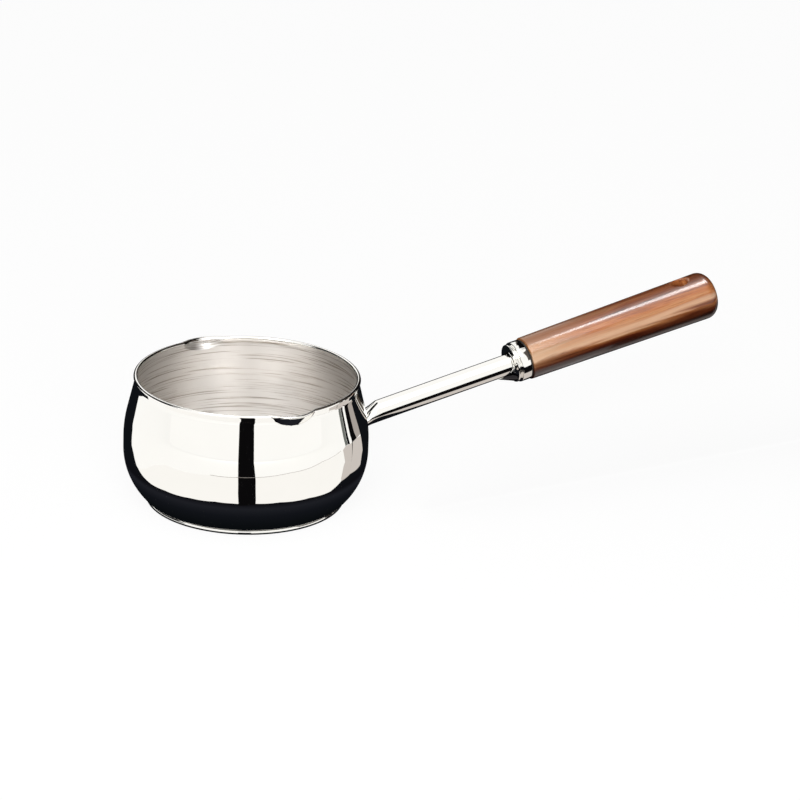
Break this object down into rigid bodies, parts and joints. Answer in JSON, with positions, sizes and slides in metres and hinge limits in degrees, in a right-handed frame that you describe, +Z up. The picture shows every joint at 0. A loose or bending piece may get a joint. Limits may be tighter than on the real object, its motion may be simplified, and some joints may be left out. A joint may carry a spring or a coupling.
{
  "type": "hot oil pot",
  "caption": "Small bellied steel pot with a rolled rim, two pouring lips and a disc base, on a long steel and wood handle with a hanging hole.",
  "frame": {"origin": "centre of the base's underside, where the pot stands", "axes": "+X out along the handle, +Z up along the pot's axis, the pouring lips at -Y and +Y"},
  "size_m": [0.3195, 0.12, 0.0846],
  "materials": {
    "pot_steel": "stainless steel, mirror polished outside, brushed satin inside",
    "core_aluminium": "plain rolled",
    "base_steel": "mirror polished stainless steel",
    "tube_steel": "mirror polished stainless steel",
    "weld_steel": "dressed weld metal",
    "ferrule_steel": "mirror polished stainless steel",
    "gasket_fibre": "dark matt ring",
    "insert_steel": "plain zinc-plated steel",
    "bolt_steel": "plain zinc-plated steel",
    "grip_wood": "red-brown wood under clear gloss lacquer"
  },
  "bodies": {
    "root": {"pot_body": "pot_steel", "base_core": "core_aluminium", "base_cap": "base_steel", "handle_tube": "tube_steel", "handle_weld": "weld_steel", "ferrule": "ferrule_steel", "ferrule_gasket": "gasket_fibre", "tube_insert": "insert_steel", "hanger_bolt": "bolt_steel", "grip": "grip_wood"}
  },
  "joints": []
}
